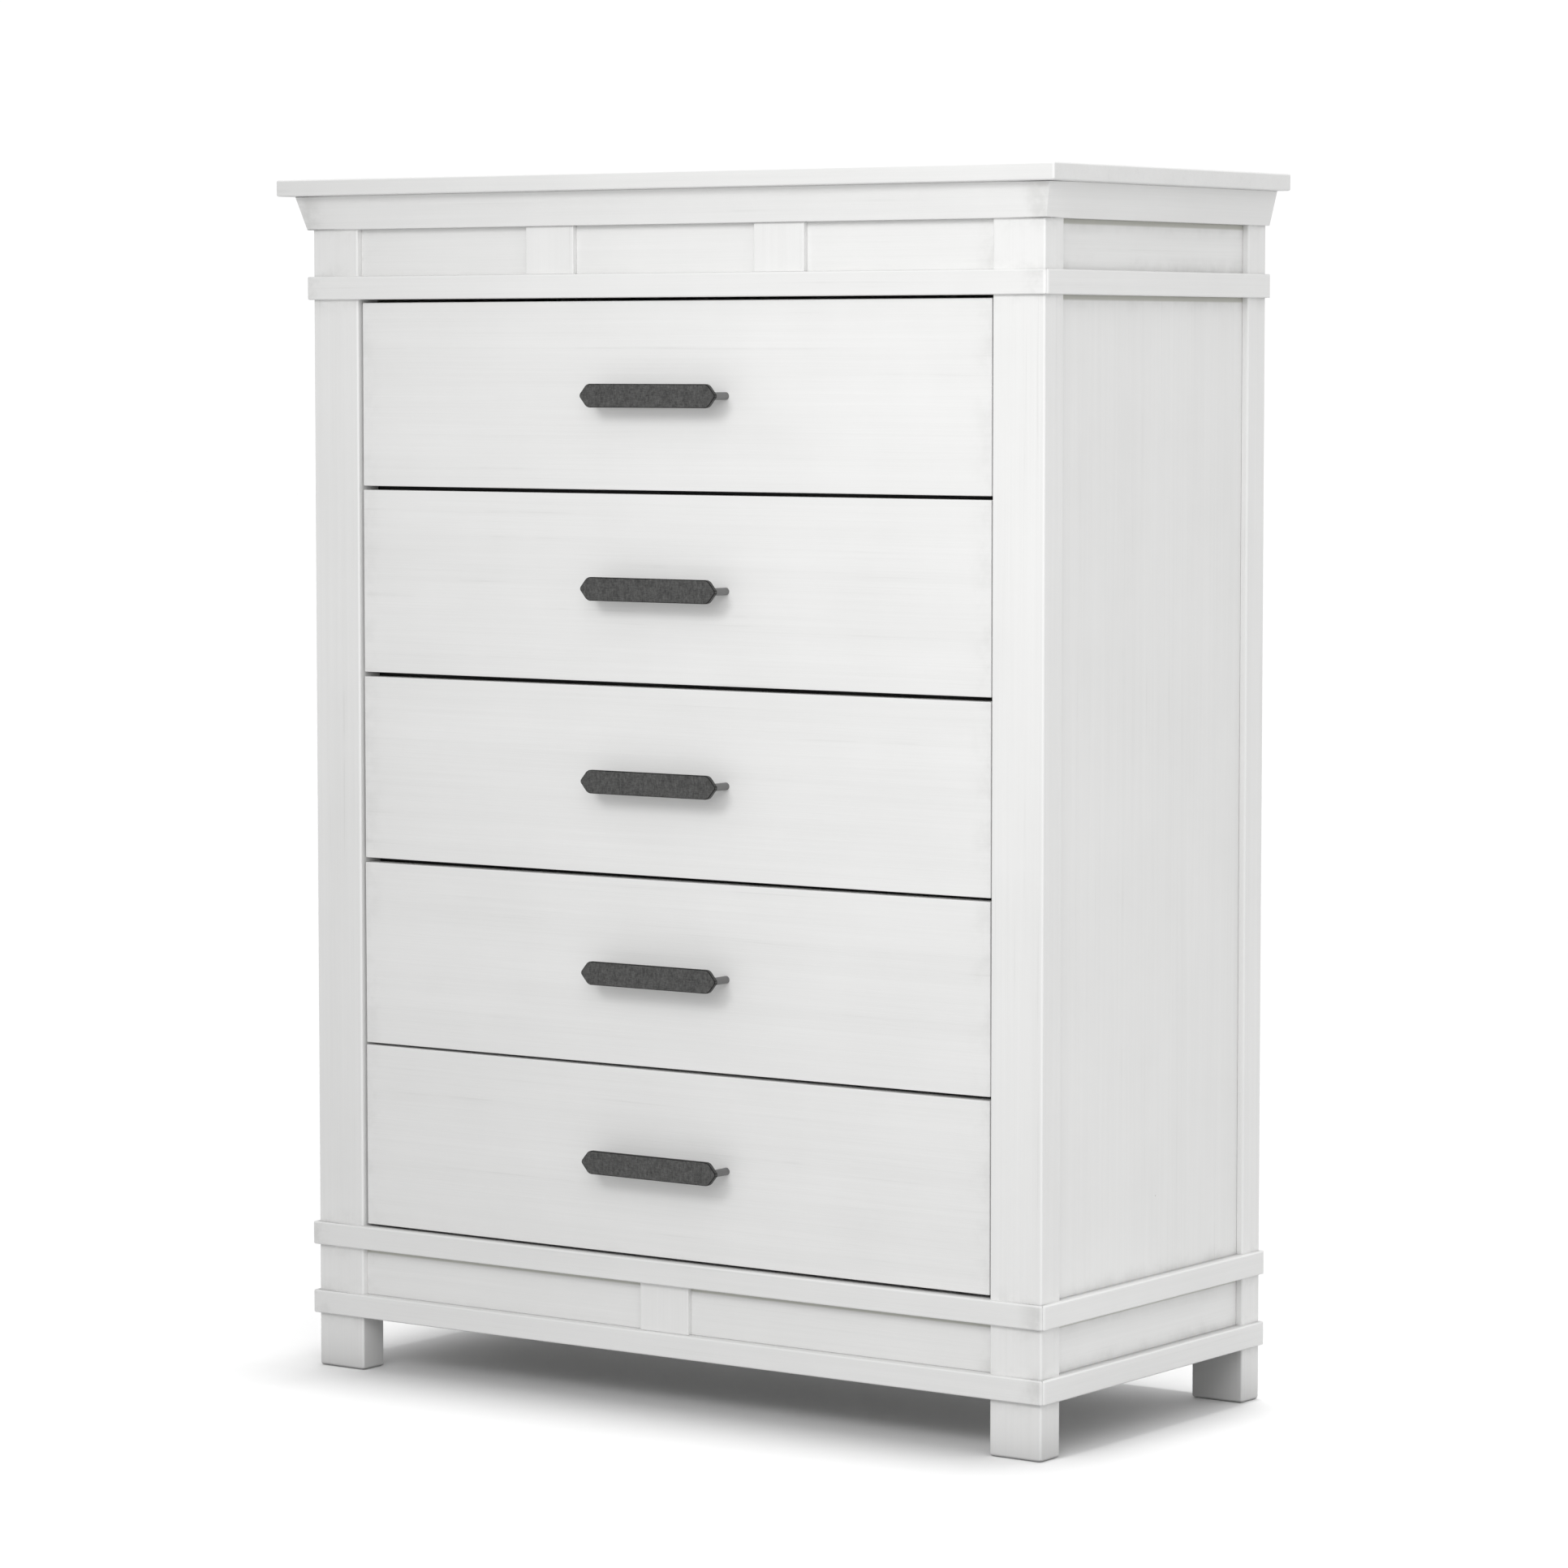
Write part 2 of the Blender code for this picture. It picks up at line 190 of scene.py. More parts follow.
def rod(name, low, high, radius):
    """A round bar along Y between two points."""
    deselect()
    bpy.ops.mesh.primitive_cylinder_add(
        vertices=ROD_SIDES,
        radius=radius,
        depth=(high - low).length,
        location=(low + high) / 2,
        rotation=(math.radians(90), 0, 0),
    )
    piece = bpy.context.active_object
    piece.name = name
    bpy.ops.object.transform_apply(location=True, rotation=True, scale=True)
    return piece


@contextmanager
def shaping(piece):
    """Edit mode on one piece alone."""
    deselect()
    piece.select_set(True)
    bpy.context.view_layer.objects.active = piece
    bpy.ops.object.mode_set(mode="EDIT")
    yield
    bpy.ops.object.mode_set(mode="OBJECT")


def copy_of(piece, name, shift=(0.0, 0.0, 0.0), half_turn=None):
    """A copy with its own mesh, turned half round an upright axis if one is given, and then moved."""
    deselect()
    piece.select_set(True)
    bpy.context.view_layer.objects.active = piece
    bpy.ops.object.duplicate(linked=False)
    twin = bpy.context.active_object
    twin.name = name
    with shaping(twin):
        bpy.ops.mesh.select_all(action="SELECT")
        if half_turn:
            bpy.ops.transform.rotate(value=math.pi, orient_axis="Z", center_override=half_turn)
        bpy.ops.transform.translate(value=shift)
    return twin


def pick(kind, test):
    """In edit mode, select the points, edges or faces that pass a test."""
    bpy.ops.mesh.select_mode(type=kind)
    bpy.ops.mesh.select_all(action="DESELECT")
    mesh = bpy.context.edit_object.data
    shape = bmesh.from_edit_mesh(mesh)
    for element in {"VERT": shape.verts, "EDGE": shape.edges, "FACE": shape.faces}[kind]:
        if test(element):
            element.select_set(True)
    shape.select_flush_mode()
    bmesh.update_edit_mesh(mesh)


def cut(place, normal, **choices):
    """Bisect the whole piece by a plane."""
    bpy.ops.mesh.select_all(action="SELECT")
    bpy.ops.mesh.bisect(plane_co=place, plane_no=normal, **choices)


def near(a, b, within=TINY):
    return abs(a - b) < within


def apply_all(piece):
    deselect()
    piece.select_set(True)
    bpy.context.view_layer.objects.active = piece
    for name in [modifier.name for modifier in piece.modifiers]:
        bpy.ops.object.modifier_apply(modifier=name)


def mark_arrises(piece, width):
    """Store 1 on the points inside a rounded edge and 0 on the flats, for a painted highlight along the edges
    of white paint and dark rims on pewter.
    """
    shape = bmesh.new()
    shape.from_mesh(piece.data)
    narrow = {}
    for face in shape.faces:
        length = max(edge.calc_length() for edge in face.edges)
        narrow[face.index] = face.calc_area() < width * length
    marks = [float(all(narrow[face.index] for face in point.link_faces)) for point in shape.verts]
    shape.free()
    attribute = piece.data.attributes.new("arris", "FLOAT", "POINT")
    attribute.data.foreach_set("value", marks)


def ease(piece, width, segments=3):
    """Round every arris of a piece and keep its faces flat in the light."""
    rounding = piece.modifiers.new("rounding", "BEVEL")
    rounding.width = width
    rounding.segments = segments
    rounding.limit_method = "ANGLE"
    rounding.angle_limit = math.radians(30)
    dress(piece, width)


def dress(piece, width):
    """Smooth shading with flat faces, and the arris marks."""
    apply_all(piece)
    mark_arrises(piece, width)
    deselect()
    piece.select_set(True)
    bpy.context.view_layer.objects.active = piece
    bpy.ops.object.shade_smooth()
    piece.modifiers.new("flat_faces", "WEIGHTED_NORMAL")
    apply_all(piece)


def rout(piece, low, high):
    """Cut a groove that takes a thin panel."""
    margin = Vector((CLOSE, CLOSE, CLOSE))
    tool = block("router", Vector(low) - margin, Vector(high) + margin)
    cutting = piece.modifiers.new("groove", "BOOLEAN")
    cutting.operation = "DIFFERENCE"
    cutting.solver = "EXACT"
    cutting.object = tool
    apply_all(piece)
    bpy.data.objects.remove(tool, do_unlink=True)


def install(piece, finish, body, slot, *nodes):
    """Give a piece its finish, its body and the frame nodes that it stands for."""
    piece.data.materials.clear()
    piece.data.materials.append(finish)
    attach(piece, body)
    if nodes:
        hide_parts(*nodes)
    return piece


# ---------------------------------------------------------------- finishes


class Tap:
    """A value inside a finish. Arithmetic on it adds the Math nodes that work it out."""

    def __init__(self, finish, socket):
        self.finish = finish
        self.socket = socket

    def math(self, operation, *values):
        return self.finish.add("ShaderNodeMath", {"operation": operation}, dict(enumerate(values)))

    def __add__(self, other):
        return self.math("ADD", self, other)

    __radd__ = __add__

    def __sub__(self, other):
        return self.math("SUBTRACT", self, other)

    def __rsub__(self, other):
        return self.math("SUBTRACT", other, self)

    def __mul__(self, other):
        return self.math("MULTIPLY", self, other)

    __rmul__ = __mul__

    def __abs__(self):
        return self.math("ABSOLUTE", self)

    def most(self, other):
        return self.math("MAXIMUM", self, other)

    def step(self, start, end, before, after):
        settings = {"interpolation_type": "SMOOTHSTEP"}
        inputs = {"Value": self, "From Min": start, "From Max": end, "To Min": before, "To Max": after}
        return self.finish.add("ShaderNodeMapRange", settings, inputs)

    def fall(self, start, end):
        """1 below start, easing to 0 above end."""
        return self.step(start, end, 1.0, 0.0)

    def rise(self, start, end):
        """0 below start, easing to 1 above end."""
        return self.step(start, end, 0.0, 1.0)


class Recipe:
    """A node tree that is written as expressions."""

    def __init__(self, tree):
        self.tree = tree

    def add(self, kind, settings, inputs, output=0):
        """Add any node: its settings first, then the values or taps of its inputs."""
        node = self.tree.nodes.new(kind)
        for name, value in settings.items():
            setattr(node, name, value)
        for name, value in inputs.items():
            self.feed(node.inputs[name], value)
        return Tap(self, node.outputs[output])

    def feed(self, socket, value):
        if isinstance(value, Tap):
            self.tree.links.new(value.socket, socket)
        else:
            socket.default_value = value


class Finish(Recipe):
    """A finish as a procedural material on the places of the piece, in metres."""

    def __init__(self, name, roughness=0.5, metallic=0.0):
        self.material = bpy.data.materials.new(name)
        self.material.use_nodes = True
        super().__init__(self.material.node_tree)
        self.shader = self.tree.nodes["Principled BSDF"]
        self.shader.inputs["Roughness"].default_value = roughness
        self.shader.inputs["Metallic"].default_value = metallic
        self.place = self.add("ShaderNodeTexCoord", {}, {}, "Object")

    def coat(self, **inputs):
        """Connect what changes over the surface to the shader."""
        for name, value in inputs.items():
            self.feed(self.shader.inputs[name.replace("_", " ")], value)

    def stretched(self, scale, shift=(0.0, 0.0, 0.0)):
        """The place on the piece, scaled along each axis."""
        return self.add("ShaderNodeMapping", {}, {"Vector": self.place, "Scale": scale, "Location": shift})

    def noise(self, scale, detail=2.0, roughness=0.5, shift=(0.0, 0.0, 0.0)):
        """Soft noise from 0 to 1, with so many patches a metre along each axis."""
        inputs = {
            "Vector": self.stretched(scale, shift),
            "Scale": 1.0,
            "Detail": detail,
            "Roughness": roughness,
        }
        return self.add("ShaderNodeTexNoise", {}, inputs, "Fac")

    def axes(self):
        split = self.add("ShaderNodeSeparateXYZ", {}, {"Vector": self.place})
        node = split.socket.node
        return [Tap(self, socket) for socket in node.outputs]

    def blend(self, first, second, share):
        """A colour between two colours."""
        inputs = {0: share, 6: first, 7: second}
        return self.add("ShaderNodeMix", {"data_type": "RGBA", "clamp_factor": True}, inputs, 2)

    def bump(self, height, distance, strength):
        inputs = {"Height": height, "Distance": distance, "Strength": strength}
        return self.add("ShaderNodeBump", {}, inputs, "Normal")

    def mark(self, name):
        return self.add("ShaderNodeAttribute", {"attribute_name": name}, {}, "Fac")

    def pits(self, spacing, radius, share):
        """Round specks, in some of the cells of a loose net."""
        inputs = {"Vector": self.place, "Scale": 1 / spacing}
        distance = self.add("ShaderNodeTexVoronoi", {}, inputs, "Distance")
        cell = Tap(self, distance.socket.node.outputs["Color"])
        chosen = self.add("ShaderNodeSeparateXYZ", {}, {"Vector": cell}).fall(share, share + 0.02)
        return distance.fall(radius / spacing * 0.5, radius / spacing) * chosen


def grey(value, warmth=0.0):
    return (value, value, value * (1 - warmth), 1.0)


def along_grain(axis, along, across):
    """Patches a metre on each axis, for a pattern drawn out along one of them."""
    scale = [across, across, across]
    scale[axis] = along
    return tuple(scale)


def strokes_of(finish, axis):
    """Brush marks along one axis: fine hairs, single strokes and broad passes of the brush."""
    hairs = finish.noise(along_grain(axis, 5.0, 800.0), detail=3.0, roughness=0.6)
    strokes = finish.noise(along_grain(axis, 2.2, 190.0), detail=2.0, shift=(1.3, 0.7, 2.9))
    passes = finish.noise(along_grain(axis, 1.3, 24.0), detail=3.0, shift=(3.1, 1.7, 0.4))
    return hairs, strokes, passes


def brushed_white(name, axis, joints_x=(), joints_z=(), joint_glaze_and_shade=1.0, tone=1.0, crossed=None, shadowed_below=()):
    """White paint brushed along the grain, with a painted highlight on the arrises, and grey glaze smudges
    with painted shade near joints with other pieces.

    crossed is another axis and the two heights between which the grain keeps the first one. Just under each
    height in the last argument, a band of painted shadow lies along the piece, where the piece above would
    cast it.
    in pooled, glaze has gathered along the piece above."""
    finish = Finish(name)
    x, y, z = finish.axes()
    marks = strokes_of(finish, axis)
    if crossed:
        other, low, high = crossed
        outside = abs(z - (low + high) / 2).rise((high - low) / 2 - TINY, (high - low) / 2)
        turned = strokes_of(finish, other)
        marks = [first + (second - first) * outside for first, second in zip(marks, turned)]
    hairs, strokes, passes = marks
    clouds = finish.noise((7.0, 7.0, 7.0), detail=3.0, roughness=0.6)
    smears = finish.noise((26.0, 26.0, 26.0), detail=4.0, roughness=0.65, shift=(0.6, 2.2, 1.3))
    scratches = strokes.rise(0.66, 0.74) * clouds.rise(0.45, 0.60)
    soft_marks = (hairs - 0.5) * 0.30 + (strokes - 0.5) * 0.26
    soft_marks = soft_marks + (passes - 0.5) * 0.44 + (clouds - 0.5) * 0.40
    shade = soft_marks * 0.75 + 0.30 + scratches * 0.20
    # Grey glaze smudges and painted shade, near the joints with other pieces.
    bands_near_joints = [
        abs(value - joint).fall(0.0, reach)
        for value, joints, reach in ((x, joints_x, JOINT_REACH_ACROSS), (z, joints_z, JOINT_REACH_UP))
        for joint in joints
    ]
    if bands_near_joints:
        near_joint = bands_near_joints[0]
        for band in bands_near_joints[1:]:
            near_joint = near_joint.most(band)
        shade = shade + near_joint * smears.rise(0.42, 0.66) * (0.34 * joint_glaze_and_shade)
    colour = finish.blend(grey(0.86 * tone, 0.006), grey(0.66 * tone, 0.014), shade)
    # Painted shadow: a grey band just under each of these heights, as if cast by the piece above.
    for height in shadowed_below:
        below = height - z
        band = below.rise(-0.002, 0.0) * below.fall(0.0040, 0.0065)
        colour = finish.blend(colour, UNDER_BELT_SHADOW, band * 0.85)
    # Painted highlight: the white paint is made lighter on its rounded edges.
    colour = finish.blend(colour, grey(0.90), finish.mark("arris") * 0.3)
    colour = finish.blend(colour, grey(0.42, 0.04), finish.pits(0.115, 0.0011, 0.30) * 0.7)
    height = (hairs - 0.5) * 0.5 + (strokes - 0.5) * 0.8 + (passes - 0.5) * 0.6
    finish.coat(
        Base_Color=colour,
        Roughness=0.40 + hairs * 0.10 + smears * 0.08,
        Normal=finish.bump(height, 0.0005, 0.35),
    )
    return finish.material


def clear_birch(name, axis, light=(0.72, 0.56, 0.37, 1.0), dark=(0.53, 0.37, 0.21, 1.0), painted_shade_to=None):
    """Pale wood under clear lacquer, with straight grain, pores and wandering growth rings.

    Where a depth is given last, its front is painted black as far back as that depth, as painted shade."""
    finish = Finish(name)
    wander = finish.noise(along_grain(axis, 1.2, 7.0), detail=2.0)
    ring_places = finish.stretched(along_grain(axis, 1.5, 34.0))
    bends = finish.add("ShaderNodeTexNoise", {}, {"Vector": ring_places, "Scale": 0.35}, "Color")
    warped = finish.add(
        "ShaderNodeVectorMath",
        {"operation": "MULTIPLY_ADD"},
        {0: bends, 1: (2.2, 2.2, 2.2), 2: ring_places},
    )
    rings = finish.add(
        "ShaderNodeTexWave",
        {"wave_type": "RINGS", "rings_direction": "XYZ"[axis]},
        {"Vector": warped, "Scale": 0.55, "Distortion": 2.5, "Detail": 2.0, "Detail Scale": 1.2},
        "Fac",
    )
    pores = finish.noise(along_grain(axis, 28.0, 1600.0), detail=2.0)
    fibres = finish.noise(along_grain(axis, 4.0, 420.0), detail=3.0, roughness=0.6)
    shade = rings * 0.35 + wander * 0.35 + (fibres - 0.5) * 0.5 + pores.rise(0.60, 0.72) * 0.25
    colour = finish.blend(light, dark, shade)
    # Painted shade: black on the front edges, where the gaps between the drawers are dark.
    if painted_shade_to is not None:
        colour = finish.blend(colour, grey(0.012), finish.axes()[1].fall(painted_shade_to, painted_shade_to + 0.004))
    finish.coat(
        Base_Color=colour,
        Roughness=0.38 + fibres * 0.18,
        Normal=finish.bump(fibres * 0.6 - pores.rise(0.60, 0.72), 0.0002, 0.4),
    )
    return finish.material


def thin_board(name):
    """Smooth fibreboard with fine felted flecks."""
    finish = Finish(name)
    flecks = finish.noise((700.0, 700.0, 700.0), detail=3.0, roughness=0.7)
    clouds = finish.noise((12.0, 12.0, 12.0), detail=2.0)
    shade = (flecks - 0.5) * 1.2 + (clouds - 0.5) * 0.6 + 0.5
    finish.coat(
        Base_Color=finish.blend((0.58, 0.45, 0.30, 1.0), (0.40, 0.29, 0.18, 1.0), shade),
        Roughness=0.5 + flecks * 0.2,
        Normal=finish.bump(flecks, 0.0001, 0.5),
    )
    return finish.material


def dark_pewter(name):
    """Cast pewter with a felted dark patina, black along its arrises."""
    finish = Finish(name, metallic=1.0)
    blotches = finish.noise((300.0, 300.0, 180.0), detail=3.0, roughness=0.6)
    weft = finish.noise((260.0, 600.0, 1100.0), detail=3.0, roughness=0.7)
    warp = finish.noise((1100.0, 600.0, 260.0), detail=3.0, roughness=0.7, shift=(0.4, 1.1, 2.3))
    patina = (blotches - 0.5) * 1.2 + (weft - 0.5) * 1.3 + (warp - 0.5) * 1.3 + 0.5
    colour = finish.blend(grey(0.050), grey(0.150, 0.02), patina)
    colour = finish.blend(colour, grey(0.012), finish.mark("arris") * 0.9)
    finish.coat(
        Base_Color=colour,
        Roughness=0.46 + blotches * 0.22,
        Normal=finish.bump(weft + warp + blotches, 0.0002, 0.45),
    )
    return finish.material


def brushed_steel(name, tone, roughness):
    """Turned or rolled metal with fine lines from front to back."""
    finish = Finish(name, metallic=1.0)
    lines = finish.noise(along_grain(1, 20.0, 3000.0), detail=2.0)
    dulling = finish.noise((60.0, 60.0, 60.0), detail=3.0)
    finish.coat(
        Base_Color=finish.blend(grey(tone), grey(tone * 0.72), lines * 0.6 + dulling * 0.5),
        Roughness=roughness + lines * 0.12 + dulling * 0.10,
        Normal=finish.bump(lines, 0.0001, 0.3),
    )
    return finish.material


def studio_floor(name):
    finish = Finish(name)
    specks = finish.noise((40.0, 40.0, 40.0), detail=3.0)
    finish.coat(Base_Color=finish.blend(grey(0.93), grey(0.91), specks), Roughness=0.85 + specks * 0.1)
    return finish.material


# ---------------------------------------------------------------- painted pieces


def closed_box(node, open_x=0.0, open_z=CLOSE):
    """A node's box, grown to close the joint space around it."""
    low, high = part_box(node)
    margin = Vector((open_x, 0.0, open_z))
    return low - margin, high + margin


def make_top(paint):
    top = block("top_panel_board", *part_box("top_panel"))
    ease(top, TOP_ARRIS, 4)
    install(top, paint, "case", "white_paint", "top_panel")


def make_posts(paint):
    """The four posts, whose lower ends are the legs, with grooves for the side panels and the back."""
    back_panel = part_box("back_panel")
    first = block("post_front_left_board", *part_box("post_front_left"))
    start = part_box("post_front_left")[0]
    with shaping(first):
        pick("EDGE", lambda e: all(near(v.co.z, start.z) for v in e.verts))
        bpy.ops.mesh.bevel(offset=FOOT_ARRIS, segments=4, profile=0.5, affect="EDGES")
    ease(first, POST_ARRIS, 4)
    for end in ("front", "back"):
        for side in SIDES:
            node = f"post_{end}_{side}"
            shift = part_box(node)[0] - start
            post = copy_of(first, f"{node}_board", shift) if shift.length else first
            rout(post, *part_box(f"side_panel_{side}"))
            if end == "back":
                rout(post, *back_panel)
            install(post, paint, "case", "white_paint", node)


def moulding(node, at, seat, low_reach, high_reach, ends, mitres, stops, depth, corner, arris):
    """A length of moulding on the posts. It is mitred at some ends and thicker between the posts.

    at() turns (along, out, up) into a place. ends are where its seat starts and ends along the case, stops
    are the inner edges of the posts, and depth is how far it goes back from the seat between them."""
    low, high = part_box(node)
    base, crown = low.z - CLOSE, high.z + CLOSE
    flare = high_reach - low_reach
    along_axis = at(1, 0, 0)
    out_axis = at(0, 1, 0)
    along = along_axis.dot
    out = out_axis.dot
    tips = [end + sign * low_reach * mitre for end, sign, mitre in zip(ends, (-1, 1), mitres)]
    mitred_tips = [(tip, sign) for tip, sign, mitre in zip(tips, (-1, 1), mitres) if mitre]
    piece = block(f"{node}_moulding", at(tips[0], seat, base), at(tips[1], seat + low_reach, crown))

    def outer_crown(v):
        return v.co.z > crown - TINY and out(v.co) > seat + TINY

    with shaping(piece):
        for tip, sign in mitred_tips:
            pick("VERT", lambda v: near(along(v.co), tip) and near(out(v.co), seat))
            bpy.ops.transform.translate(value=at(-sign * low_reach, 0, 0))
            pick("VERT", lambda v: near(along(v.co), tip) and outer_crown(v))
            bpy.ops.transform.translate(value=at(sign * flare, 0, 0))
        pick("VERT", outer_crown)
        bpy.ops.transform.translate(value=at(0, flare, 0))
        if corner:
            for tip, sign in mitred_tips:
                corner_place = at(tip - sign * corner, seat + low_reach, 0)
                cut(corner_place, at(sign, 1, 0), clear_outer=True, use_fill=True)
        for stop in stops:
            cut(at(stop, 0, 0), along_axis)

        def back_between_posts(f):
            return f.normal.dot(out_axis) < -SQUARE_ON and stops[0] < along(f.calc_center_median()) < stops[1]

        pick("FACE", back_between_posts)
        bpy.ops.mesh.extrude_region_move(TRANSFORM_OT_translate={"value": at(0, -depth, 0)})
        bpy.ops.mesh.select_all(action="SELECT")
        bpy.ops.mesh.normals_make_consistent(inside=False)

        def mitre_face(f):
            return abs(f.normal.dot(along_axis)) > 0.5 and f.normal.dot(out_axis) < -0.5

        def on_show(edge):
            return min(out(v.co) for v in edge.verts) > seat + TINY

        def shows(edge):
            first, second = edge.link_faces
            bent = first.normal.angle(second.normal) > math.radians(20)
            return bent and not mitre_face(first) and not mitre_face(second) and on_show(edge)

        pick("EDGE", shows)
        bpy.ops.mesh.bevel(offset=arris, segments=4, profile=0.5, affect="EDGES")
    dress(piece, arris)
    return piece


def make_course(tier, flare, depth, corner, arris):
    """A front length and two side lengths that wrap the case at one level, by the names of their nodes."""
    high_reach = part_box(f"{tier}_right")[1].x - CASE_HALF
    profile = (high_reach - flare, high_reach)
    shape = (corner, arris)
    course = {}
    course["front"] = moulding(
        f"{tier}_front",
        lambda along, out, up: Vector((along, -out, up)),
        -CASE_FRONT,
        *profile,
        (-CASE_HALF, CASE_HALF),
        (1, 1),
        (-POST_INNER, POST_INNER),
        depth,
        *shape,
    )
    for side, sign in SIDES.items():
        course[side] = moulding(
            f"{tier}_{side}",
            lambda along, out, up, sign=sign: Vector((sign * out, along, up)),
            CASE_HALF,
            *profile,
            (CASE_FRONT, CASE_BACK),
            (1, 0),
            (FRONT_POST_BACK, BACK_POST_FRONT),
            CASE_HALF - PANEL_FACE,
            *shape,
        )
    return course


def make_mouldings(paints):
    belt = make_course("upper_belt", 0.0, RAIL_BACK - CASE_FRONT, BELT_CORNER, BELT_ARRIS)
    courses = {"upper_belt": belt}
    for tier in ("lower_belt", "base_belt"):
        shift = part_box(f"{tier}_front")[0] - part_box("upper_belt_front")[0]
        courses[tier] = {part: copy_of(belt[part], f"{tier}_{part}_moulding", shift) for part in belt}
    courses["cornice"] = make_course("cornice", cornice_flare(), RAIL_FACE - CASE_FRONT, 0.0, CORNICE_ARRIS)
    for tier, course in courses.items():
        for part, piece in course.items():
            install(piece, paints["x" if part == "front" else "y"], "case", "white_paint", f"{tier}_{part}")


def cornice_flare():
    """How much further the cornice stands out at its top than at its bottom, read from its outer face."""
    low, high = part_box("cornice_right")
    points = [v.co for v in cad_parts["cornice_right"].data.vertices]
    head = max(points, key=lambda p: p.x)
    foot = max((p for p in points if p.z < (low.z + high.z) / 2), key=lambda p: p.x)
    return (head.x - foot.x) / (head.z - foot.z) * (high.z - low.z)


def make_rails(paint, block_paint):
    """The recessed frieze and plinth boards with their raised blocks."""
    for node in ("frieze_board", "plinth_board"):
        rail = block(f"{node}_rail", *closed_box(node, open_x=CLOSE))
        ease(rail, RAIL_ARRIS, 2)
        install(rail, paint, "case", "white_paint", node)
    for node in ("frieze_block_left", "frieze_block_right", "plinth_block"):
        low, high = closed_box(node)
        high.y = RAIL_FACE
        raised = block(f"{node}_pad", low, high)
        ease(raised, BLOCK_ARRIS, 3)
        install(raised, block_paint, "case", "white_paint", node)


# ---------------------------------------------------------------- drawer fronts and pulls


def hang(piece, drawer):
    """Settle a piece with its drawer's front: a little to the left, and up or down at each end."""
    low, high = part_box(f"{drawer}_front")
    left_rise, right_rise = HANG[drawer]
    tilt = (right_rise - left_rise) / (high.x - low.x)
    with shaping(piece):
        bpy.ops.mesh.select_all(action="SELECT")
        bpy.ops.transform.rotate(value=tilt, orient_axis="Y", center_override=(low + high) / 2)
        bpy.ops.transform.translate(value=(SIDE_PLAY, 0, (left_rise + right_rise) / 2))


def make_bar(name):
    """A flat bar with pointed ends and eased rims."""
    low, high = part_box("drawer_1_pull")
    bar_back = low.y + BAR_THICKNESS
    centre_z = (low.z + high.z) / 2
    sharp_tip = high.x + TIP_ROUND * (math.sqrt(2) - 1)
    shoulder = sharp_tip - POINT_LENGTH
    bar = block(name, (-shoulder, low.y, low.z), (shoulder, bar_back, high.z))

    def crosswise_at(edge, place):
        first, second = (v.co for v in edge.verts)
        return near(first.x, second.x) and near(first.z, second.z) and near(abs(first.x), place, 0.0005)

    with shaping(bar):
        for sign in (-1, 1):
            pick("FACE", lambda f: f.normal.x * sign > SQUARE_ON)
            bpy.ops.mesh.extrude_region_move(TRANSFORM_OT_translate={"value": (sign * POINT_LENGTH, 0, 0)})
            bpy.ops.transform.resize(value=(1, 1, 0), center_override=(sign * sharp_tip, bar_back, centre_z))
        bpy.ops.mesh.select_all(action="SELECT")
        bpy.ops.mesh.remove_doubles(threshold=TINY)
        bpy.ops.mesh.normals_make_consistent(inside=False)
        pick("EDGE", lambda e: e.calc_face_angle() < 0.01)
        bpy.ops.mesh.dissolve_edges(use_verts=False)
        for place, width in ((sharp_tip, TIP_ROUND), (shoulder, SHOULDER_ROUND)):
            pick("EDGE", lambda e: crosswise_at(e, place))
            bpy.ops.mesh.bevel(offset=width, segments=5, profile=0.5, affect="EDGES")
        for rim, width in ((low.y, BAR_ARRIS), (bar_back, BAR_ARRIS / 2)):
            pick("EDGE", lambda e: all(near(v.co.y, rim) for v in e.verts))
            bpy.ops.mesh.bevel(offset=width, segments=3, profile=0.5, affect="EDGES")
    dress(bar, BAR_ARRIS)
    return bar


def make_stem(name, place):
    """A round stem from the bar's back to the drawer's face, eased at both ends."""
    back = Vector((place.x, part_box("drawer_1_front")[0].y, place.z))
    stem = rod(name, place, back, STEM_RADIUS)
    with shaping(stem):
        pick("EDGE", lambda e: near(e.verts[0].co.y, e.verts[1].co.y))
        bpy.ops.mesh.bevel(offset=STEM_ARRIS, segments=3, profile=0.5, affect="EDGES")
    dress(stem, STEM_ARRIS)
    return stem


def make_screw(name, place):
    """The head of a screw inside the drawer's front, domed and recessed."""
    screw = rod(name, place, place + Vector((0, SCREW_HEIGHT, 0)), SCREW_RADIUS)
    with shaping(screw):
        pick("FACE", lambda f: f.normal.y > SQUARE_ON)
        bpy.ops.mesh.inset(thickness=0.0012, depth=0.0009)
        bpy.ops.mesh.inset(thickness=0.0012, depth=0)
        bpy.ops.mesh.inset(thickness=0.0004, depth=-0.0012)
    dress(screw, TINY)
    return screw


